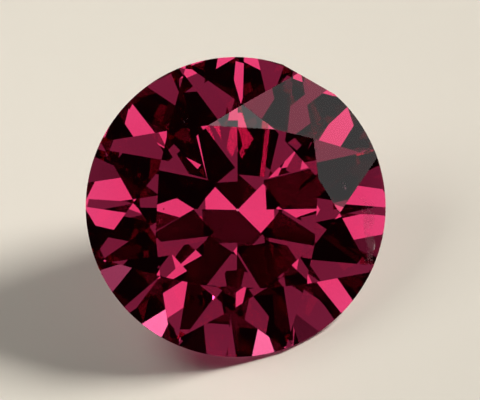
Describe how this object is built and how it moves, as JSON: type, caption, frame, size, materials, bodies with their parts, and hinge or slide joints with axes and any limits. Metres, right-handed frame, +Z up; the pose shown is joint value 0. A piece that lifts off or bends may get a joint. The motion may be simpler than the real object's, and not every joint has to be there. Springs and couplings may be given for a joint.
{
  "type": "faceted pink sapphire",
  "caption": "Loose round brilliant-cut gemstone with a flat table, faceted crown and pointed pavilion, lying on one pavilion facet.",
  "frame": {"origin": "middle of the bounding box's underside, on the surface that the stone lies on", "axes": "+Z up; the table leans towards -Y; X runs across the stone, parallel to the table"},
  "size_m": [0.008, 0.006, 0.0055],
  "materials": {
    "sapphire": "polished"
  },
  "bodies": {
    "root": {"sapphire": "sapphire"}
  },
  "joints": []
}
